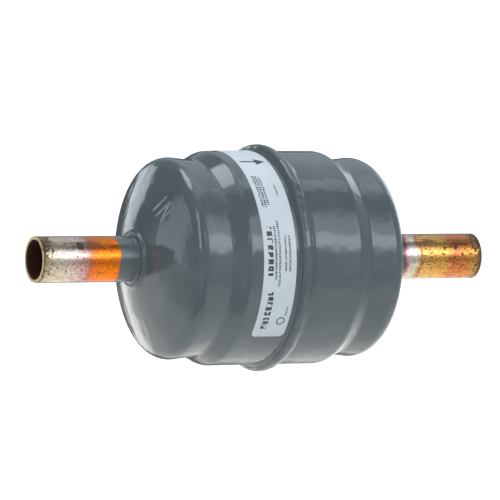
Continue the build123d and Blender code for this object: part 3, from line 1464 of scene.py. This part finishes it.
@dataclass
class Stub:
    """Copper tube at one end, its root swaged into the neck, with the ring of filler.

    Attributes:
        reach: how far the tube comes out of the neck.
        inset: how far its root goes in.
        swage: how much smaller the root's radius is.
        chamfer: deburring of the mouth.
        braze_leg: size of the filler's fillet.
    """

    end: StubEnd
    shell: ShellSizes
    radius: float = 6.35 * MM
    wall: float = 0.89 * MM
    reach: float = 28.8 * MM
    inset: float = 3.4 * MM
    swage: float = 0.2 * MM
    chamfer: float = 0.2 * MM
    braze_leg: float = 0.55 * MM
    steps: int = 128

    def __post_init__(self) -> None:
        """Works out the stub's places."""
        self.shoulder_x = self.shell.tip_x + self.braze_leg
        self.mouth_x = self.shell.tip_x + self.reach
        self.root_radius = self.radius - self.swage

    def sided(self, line: Section) -> Section:
        """The section on this stub's side of the origin."""
        return [Vector((point.x * self.end.value, point.y)) for point in line]

    def build(self) -> list[bpy.types.Object]:
        """Models the tube and its filler."""
        return [self.tube(), self.filler()]

    def dress(
        self, pieces: list[bpy.types.Object], tint: HeatTint, paint: bpy.types.Material
    ) -> None:
        """Gives the tube its heat colours and the filler the body's paint.

        Args:
            pieces: the tube and the filler.
            tint: how this stub was heated and sprayed.
            paint: the body's paint.
        """
        side = self.end.name.lower()
        lengths = (self.shell.tip_x, self.reach, self.radius - self.wall)
        in_mm = (length / MM for length in lengths)
        copper = TintedCopper(f"{side}_copper", self.end, *in_mm, tint).material()
        tube, filler = pieces
        placed(dressed(tube, copper), [f"{side}_stub"])
        placed(dressed(filler, paint), [f"{side}_braze_ring"])
        log.info("%s and %s: dressed", tube.name, filler.name)

    def tube(self) -> bpy.types.Object:
        """Models the tube, with a deburred mouth.

        Returns:
            The tube.
        """
        bore = self.radius - self.wall
        root_bore = self.root_radius - self.wall
        start = self.shell.tip_x - self.inset
        nose = self.chamfer * 0.3
        line = [
            Vector((start, self.root_radius)),
            Vector((self.shoulder_x, self.root_radius)),
            Vector((self.shoulder_x, self.radius)),
            Vector((self.mouth_x - self.chamfer, self.radius)),
            Vector((self.mouth_x - nose, self.radius - nose)),
            Vector((self.mouth_x, self.radius - self.chamfer)),
            Vector((self.mouth_x, bore + self.chamfer)),
            Vector((self.mouth_x - nose, bore + nose)),
            Vector((self.mouth_x - self.chamfer, bore)),
            Vector((self.shoulder_x, bore)),
            Vector((self.shoulder_x, root_bore)),
            Vector((start, root_bore)),
        ]
        name = f"{self.end.name.lower()}_tube"
        piece = spun(name, with_supports(self.sided(line), 2 * SUPPORT_REACH), self.steps)
        return smoothed(piece)

    def filler(self) -> bpy.types.Object:
        """Models the filler in the joint, with a hollow fillet on the neck's tip.

        Returns:
            The filler.
        """
        tip = self.shell.tip_x
        film = tip - self.inset / 2
        hollow = Vector((tip + self.braze_leg, self.radius + self.braze_leg))
        fillet = arc_points(hollow, self.braze_leg, 270, 180, 15.0)
        line = [
            Vector((film, self.root_radius)),
            Vector((self.shoulder_x, self.root_radius)),
            *fillet,
            Vector((tip, self.shell.neck_bore)),
            Vector((film, self.shell.neck_bore)),
        ]
        piece = spun(f"{self.end.name.lower()}_filler", self.sided(line), self.steps)
        return smoothed(piece, FILLET_ANGLE)


@dataclass
class WrapLabel:
    """The film label, cut flat with rounded corners and wrapped over the inlet half.

    Attributes:
        lip_gap: how far its edge stays from the bell's lip.
        start: where it starts, in degrees from the front, upwards.
        arc: how far it goes round.
        skew: how much it leans along the axis, in degrees.
        cuts: how many pieces it is bent in.
    """

    body_radius: float
    bell_lip: float
    width: float = 9.9 * MM
    lip_gap: float = 1.5 * MM
    thickness: float = 0.1 * MM
    start: float = -46.0
    arc: float = 272.0
    skew: float = 0.7
    corner: float = 1.5 * MM
    cuts: int = 136

    def build(self) -> bpy.types.Object:
        """Cuts the label out flat, wraps it and gives it its thickness.

        Returns:
            The label.
        """
        middle_x = -self.bell_lip - self.lip_gap - self.width / 2
        length = math.radians(self.arc) * self.body_radius
        deselect()
        bpy.ops.mesh.primitive_plane_add(size=1.0)
        piece = bpy.context.object
        piece.name = piece.data.name = "film_label"
        piece.scale = (self.width, length, 1.0)
        bpy.ops.object.transform_apply(location=True, rotation=True, scale=True)
        edit_all()
        bpy.ops.mesh.bevel(offset=self.corner, segments=8, affect="VERTICES", clamp_overlap=False)
        for i in range(1, self.cuts):
            bpy.ops.mesh.select_all(action="SELECT")
            place = (0, length * (i / self.cuts - 0.5), 0)
            bpy.ops.mesh.bisect(plane_co=place, plane_no=(0, 1, 0))
        bpy.ops.object.mode_set(mode="OBJECT")
        self.wrap(piece, middle_x, length)
        thick = piece.modifiers.new("thickness", "SOLIDIFY")
        thick.thickness = self.thickness
        thick.offset = 1.0
        activate(piece)
        bpy.ops.object.modifier_apply(modifier=thick.name)
        return smoothed(piece)

    def dress(self, piece: bpy.types.Object) -> None:
        """Prints the film and puts it in place of its solid.

        Args:
            piece: the wrapped label.
        """
        film = PrintedFilm(
            name="label_film",
            radius=self.body_radius / MM,
            bars=LABEL_BARS,
            arrow_middle=32.3,
            arrow_tail=-12.2,
            arrow_neck=-7.6,
            arrow_tip=-4.5,
            skew=math.tan(math.radians(self.skew)),
            name_ring=(-5.9, -18.2, 1.1),
        )
        placed(dressed(piece, film.material()), ["data_label"])
        log.info("%s: %d faces, printed", piece.name, len(piece.data.polygons))

    def wrap(self, piece: bpy.types.Object, middle_x: float, length: float) -> None:
        """Bends the flat label round the body and slants it by its skew.

        Args:
            piece: the flat label, its length along Y and its width along X.
            middle_x: where its middle line lies along the axis.
            length: its length before it is bent.
        """
        slant = math.tan(math.radians(self.skew))
        for vertex in piece.data.vertices:
            across, along, _ = vertex.co
            turn = math.radians(self.start + self.arc * (along / length + 0.5))
            y, z = -self.body_radius * math.cos(turn), self.body_radius * math.sin(turn)
            vertex.co = Vector((middle_x + across - z * slant, y, z))


@dataclass
class InnerParts:
    """The core and what holds it: solids whose form is right, given their own finishes."""

    steel_nodes: tuple[str, ...] = ("core_spring", "spring_plate", "outlet_screen", "outlet_plate")
    fibre_nodes: tuple[str, ...] = ("inlet_cushion", "filter_pad")
    core_nodes: tuple[str, ...] = ("desiccant_core",)

    def dress(self, nodes: dict[str, bpy.types.Object]) -> None:
        """Gives each hidden solid its finish.

        Args:
            nodes: the frame's solids by name.
        """
        dresses = (
            (self.steel_nodes, BareMetal()),
            (self.fibre_nodes, PRESSED_FIBRE),
            (self.core_nodes, DESICCANT),
        )
        for names, finish in dresses:
            material = finish.material()
            for name in names:
                dressed(nodes[name], material)
                log.info("%s: dressed with %s", name, material.name)


# --------------------------------------------------------------------------------------------
# Studio


@dataclass(frozen=True)
class SoftLamp:
    """A rectangular softbox, aimed at a point on the object."""

    name: str
    place: Triple
    size: tuple[float, float]
    power: float
    aim: Triple = (0.0, 0.0, 0.0)
    colour: Colour = (0.93, 0.99, 1.0)

    def build(self) -> None:
        """Puts the lamp up; gloss sees the surroundings' panels instead of it."""
        data = bpy.data.lights.new(self.name, "AREA")
        data.shape = "RECTANGLE"
        data.size, data.size_y = self.size
        data.energy = self.power
        data.color = self.colour
        lamp = bpy.data.objects.new(self.name, data)
        lamp.location = self.place
        ray = Vector(self.aim) - Vector(self.place)
        lamp.rotation_euler = ray.to_track_quat("-Z", "Y").to_euler()
        lamp.visible_glossy = False
        bpy.context.scene.collection.objects.link(lamp)


@dataclass(frozen=True)
class SkyPanel:
    """A softbox as gloss shows it, far off.

    Attributes:
        azimuth: its middle, in degrees from -X towards -Y.
        elevation: its middle, in degrees above the horizon.
        half_wide: half its width, in degrees.
        half_high: half its height.
        edge: how far it fades, each side of its edge.
        glow: its brightness.
    """

    azimuth: float
    elevation: float
    half_wide: float
    half_high: float
    edge: float
    glow: float

    def shine(self, azimuth: Sig, elevation: Sig) -> Sig:
        """Lights the panel.

        Args:
            azimuth: of the direction, in degrees.
            elevation: the same.

        Returns:
            The panel's brightness in that direction.
        """
        across = (azimuth - self.azimuth + 180.0).remainder(360.0) - 180.0
        inner_wide, outer_wide = self.half_wide - self.edge, self.half_wide + self.edge
        inner_high, outer_high = self.half_high - self.edge, self.half_high + self.edge
        wide = across.abs().over(outer_wide, inner_wide)
        high = (elevation - self.elevation).abs().over(outer_high, inner_high)
        return wide * high * self.glow


@dataclass
class Studio:
    """White floor and backdrop, soft lamps, the surroundings and the camera.

    Attributes:
        ambient: the even grey that lights the object from all round.
        warm, cool: tint of that light and of gloss, from below and from above.
        far_wall, ceiling, table: how bright these look in gloss.
        darkest: what no panel can take the surroundings below.
    """

    floor_drop: float = 0.14
    floor_half: float = 4.0
    backdrop_back: float = 3.4
    card_colour: Colour = (0.8, 0.8, 0.8)
    image_size: float = 500.0
    focal_pixels: float = 4471.4
    sensor: float = 36.0
    camera_place: Triple = (-0.56533, -1.10395, 0.00623)
    camera_forward: Triple = (0.45424, 0.89086, -0.0033)
    camera_up: Triple = (0.00726, 0.0, 0.99997)
    ambient: float = 0.68
    lamps: tuple[SoftLamp, ...] = (
        SoftLamp("overhead_box", (-0.1, 0.1, 0.75), (0.5, 0.5), 2.8),
        SoftLamp("front_box", (0.36, -0.85, 0.3), (0.5, 0.5), 3.2),
        SoftLamp("left_box", (-0.75, -0.45, 0.35), (0.3, 0.5), 2.0),
    )
    cool: Colour = (0.9, 0.99, 1.07)
    warm: Colour = (1.0, 1.0, 0.97)
    far_wall: float = 0.2
    ceiling: float = 1.0
    table: float = 1.3
    darkest: float = 0.1
    panels: tuple[SkyPanel, ...] = (
        SkyPanel(118.0, 15.0, 23.0, 8.0, 4.0, 2.3),
        SkyPanel(118.0, 25.0, 23.0, 16.0, 6.0, 1.7),
        SkyPanel(38.0, 27.0, 7.0, 18.0, 4.0, 3.6),
        SkyPanel(75.0, 20.0, 8.0, 7.0, 4.0, 1.4),
        SkyPanel(-24.0, 10.0, 9.5, 14.0, 2.5, 1.3),
        SkyPanel(-77.0, 14.0, 11.0, 9.0, 3.0, 2.0),
        SkyPanel(-84.0, -12.0, 8.0, 9.0, 4.0, 1.3),
        SkyPanel(-107.0, -6.0, 13.0, 22.0, 4.0, -1.3),
        SkyPanel(-148.0, 18.0, 12.0, 14.0, 4.0, 1.4),
        SkyPanel(172.0, 62.0, 14.0, 8.0, 3.0, 1.2),
        SkyPanel(-40.0, 75.0, 55.0, 9.0, 3.0, 4.2),
        SkyPanel(45.0, -2.0, 90.0, 14.0, 8.0, 0.38),
        SkyPanel(28.0, -26.0, 36.0, 17.0, 9.0, 0.5),
    )

    def build(self, bottom: float) -> None:
        """Puts up the floor, the backdrop, the lamps, the surroundings and the camera.

        Args:
            bottom: the object's lowest height; it is held clear of the floor.
        """
        floor = self.card("floor", (0, 0, bottom - self.floor_drop), (0, 0, 0))
        back = self.card("backdrop", (0.5, self.backdrop_back, 0), (math.pi / 2, 0, 0))
        for card in (floor, back):
            dressed(card, self.white_card(card.name))
            card.visible_glossy = False
            card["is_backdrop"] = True
        for lamp in self.lamps:
            lamp.build()
        self.surroundings()
        self.camera()

    def card(self, name: str, place: Triple, turn: Triple) -> bpy.types.Object:
        """Lays out a large flat sheet, cut up a little so that it bakes evenly.

        Args:
            name: the sheet's name.
            place: its middle.
            turn: its rotation.

        Returns:
            The sheet.
        """
        deselect()
        bpy.ops.mesh.primitive_plane_add(size=2 * self.floor_half, location=place, rotation=turn)
        sheet = bpy.context.object
        sheet.name = name
        edit_all()
        bpy.ops.mesh.subdivide(number_cuts=3)
        bpy.ops.object.mode_set(mode="OBJECT")
        return sheet

    def white_card(self, name: str) -> bpy.types.Material:
        """Makes a white card, which is white to the camera and clear from behind.

        Args:
            name: the sheet's name.

        Returns:
            The card's material.
        """
        graph = Graph.for_material(f"{name}_white")
        seen = graph.node("ShaderNodeLightPath", {}, {}, "Is Camera Ray")
        lit = graph.node(
            "ShaderNodeBsdfPrincipled",
            {},
            {
                "Base Color": self.card_colour,
                "Roughness": 0.9,
                "Specular IOR Level": 0.0,
                "Emission Color": graph.mix((0.0, 0.0, 0.0), self.card_colour, seen),
                "Emission Strength": 1.0,
            },
        )
        clear = graph.node("ShaderNodeBsdfTransparent", {}, {})
        from_behind = graph.node("ShaderNodeNewGeometry", {}, {}, "Backfacing")
        return graph.finish("ShaderNodeMixShader", {0: from_behind, 1: lit, 2: clear})

    def surroundings(self) -> None:
        """White to the camera, an even grey for light, and a studio with panels for gloss."""
        world = bpy.data.worlds.new("studio")
        bpy.context.scene.world = world
        graph = Graph(world, "ShaderNodeOutputWorld")
        rays = graph.node("ShaderNodeLightPath", {}, {}).socket.node.outputs
        glossy = Sig(graph, rays["Is Glossy Ray"])
        camera = Sig(graph, rays["Is Camera Ray"])
        x, y, z = graph.axes(graph.node("ShaderNodeTexCoord", {}, {}, "Generated"))
        azimuth, elevation = (y * -1.0).bearing(x * -1.0), z.arcsine()
        room = self.room(x, y, z, elevation)
        for panel in self.panels:
            room = (room + panel.shine(azimuth, elevation)).most(self.darkest)
        strength = self.ambient + glossy * (room - self.ambient)
        strength = strength + camera * (1.0 - strength)
        tint = graph.mix(self.warm, self.cool, elevation.over(-20.0, 25.0))
        tint = graph.mix(tint, (1.0, 1.0, 1.0), camera)
        graph.finish("ShaderNodeBackground", {"Color": tint, "Strength": strength})

    def room(self, x: Sig, y: Sig, z: Sig, elevation: Sig) -> Sig:
        """Works out what gloss sees of the studio without its panels.

        It is dim, with a wall to the right, light aloft behind, a ceiling, and a bright table
        that fills the view below and reaches far back.

        Args:
            x: the direction's part along X.
            y: its part along Y.
            z: its part along Z.
            elevation: its elevation, in degrees.

        Returns:
            The brightness in that direction.
        """
        right = x.over(-0.5, 0.6) * elevation.over(46.0, 24.0) * 0.34
        aloft = y.over(-0.1, 0.2) * elevation.over(10.0, 50.0) * x.over(0.0, 0.4) * 0.7
        walls = right.most(aloft) + elevation.over(60.0, 72.0) * self.ceiling + self.far_wall
        behind = (y * 1.09 - z).over(0.2, 1.05) * elevation.over(4.0, -3.0)
        below = elevation.over(-12.0, -44.0) * x.over(-0.35, 0.3)
        below = below.most(elevation.over(-42.0, -66.0)).most(behind)
        return walls + below * (self.table + behind * 0.25 - walls)

    def camera(self) -> None:
        """The camera, with a long lens, almost level with the axis."""
        data = bpy.data.cameras.new("camera")
        data.sensor_width = self.sensor
        data.lens = self.focal_pixels * self.sensor / self.image_size
        data.clip_end = 20.0
        camera = bpy.data.objects.new("camera", data)
        back = -Vector(self.camera_forward).normalized()
        right = Vector(self.camera_up).cross(back).normalized()
        up = back.cross(right)
        axes = Matrix((right, up, back)).transposed().to_4x4()
        camera.matrix_world = Matrix.Translation(self.camera_place) @ axes
        bpy.context.scene.collection.objects.link(camera)
        bpy.context.scene.camera = camera


# --------------------------------------------------------------------------------------------
# The build


def plain(box: tuple) -> list[list[float]]:
    """A box's corners as plain lists of numbers."""
    return [[float(value) for value in corner] for corner in box]


def main() -> None:
    """Builds and dresses the sub-assemblies in order."""
    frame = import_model()
    cad_box = plain(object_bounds())

    shell = Shell()
    paint = GlossPaint(strokes=STAMP).material()
    shell.dress(shell.build(), paint)
    for end, tint in ((StubEnd.INLET, INLET_TINT), (StubEnd.OUTLET, OUTLET_TINT)):
        stub = Stub(end, shell.sizes)
        stub.dress(stub.build(), tint, paint)
    label = WrapLabel(shell.sizes.body_radius, shell.bell_lip)
    label.dress(label.build())
    InnerParts().dress(frame["nodes"])

    lowest = min(cad_box[0][2], cad_box[1][2])
    Studio().build(lowest)
    bpy.context.scene.view_settings.view_transform = "Standard"


if __name__ == "__main__":
    logging.basicConfig(level=logging.INFO)
    main()
